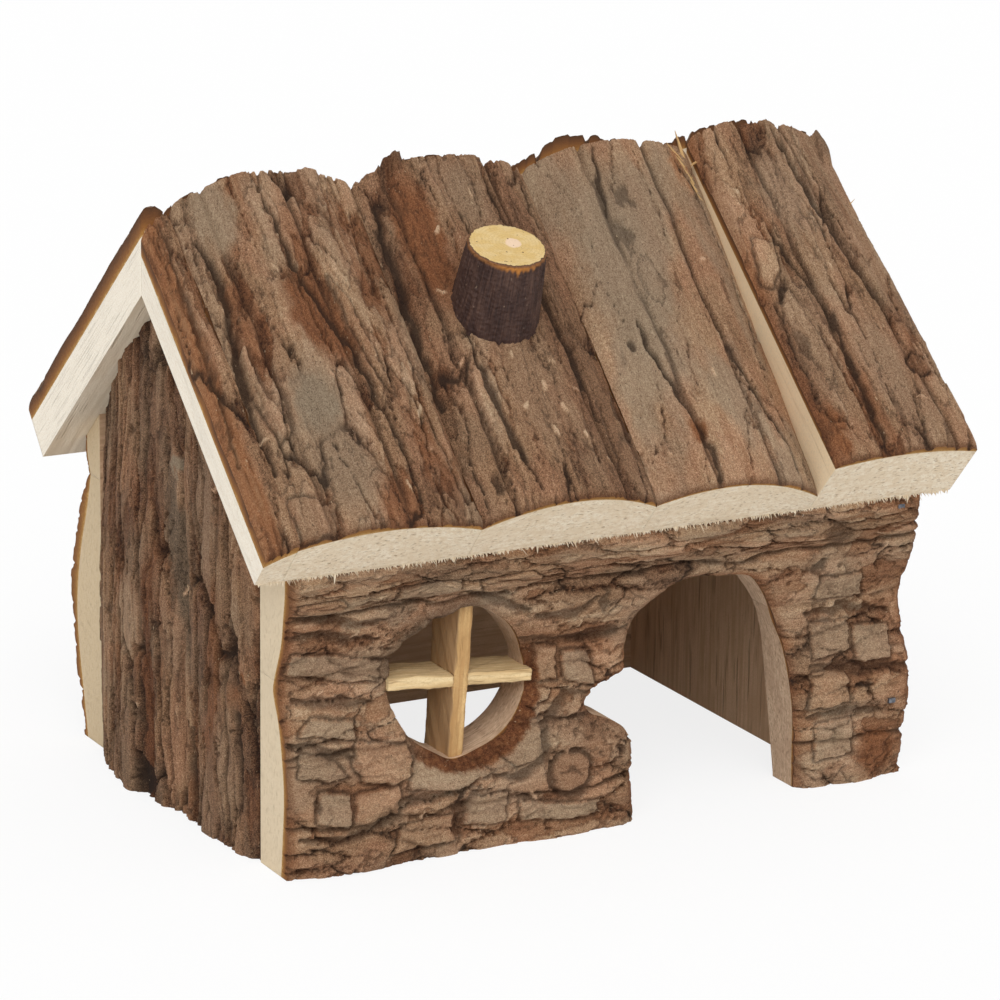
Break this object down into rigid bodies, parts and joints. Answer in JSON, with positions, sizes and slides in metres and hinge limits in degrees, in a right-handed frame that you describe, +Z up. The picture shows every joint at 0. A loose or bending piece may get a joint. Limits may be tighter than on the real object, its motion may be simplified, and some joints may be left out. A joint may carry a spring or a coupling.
{
  "type": "wooden hamster house",
  "caption": "Rustic pet hideout of bark-covered half-log slabs with a pitched roof, arched doorway, round window with a cross, and a sawn branch chimney.",
  "frame": {"origin": "middle of the house's bounding box, on the ground", "axes": "+X along the ridge, away from the window end; the front wall faces -Y; +Z up"},
  "size_m": [0.2, 0.1622, 0.166],
  "materials": {
    "bark_slab": "rough bark over pale sawn wood",
    "window_cross": "rough sawn",
    "chimney_branch": "smooth young bark, sawn end",
    "steel": "bright wire"
  },
  "bodies": {
    "root": {"front_wall_brads": "steel", "back_wall_brads": "steel", "chimney_nail": "steel", "window_upright": "window_cross", "window_crossbar": "window_cross", "chimney": "chimney_branch", "front_wall_lower_slab": "bark_slab", "front_wall_door_post": "bark_slab", "front_wall_upper_slab": "bark_slab", "back_wall_lower_slab": "bark_slab", "back_wall_upper_slab": "bark_slab", "left_gable_front_slab": "bark_slab", "left_gable_back_slab": "bark_slab", "right_gable_front_slab": "bark_slab", "right_gable_back_slab": "bark_slab", "roof_front_edge_strip": "bark_slab", "roof_front_slab_1": "bark_slab", "roof_front_slab_2": "bark_slab", "roof_front_slab_3": "bark_slab", "roof_front_slab_4": "bark_slab", "roof_back_edge_strip": "bark_slab", "roof_back_slab_1": "bark_slab", "roof_back_slab_2": "bark_slab", "roof_back_slab_3": "bark_slab", "roof_back_slab_4": "bark_slab"}
  },
  "joints": []
}
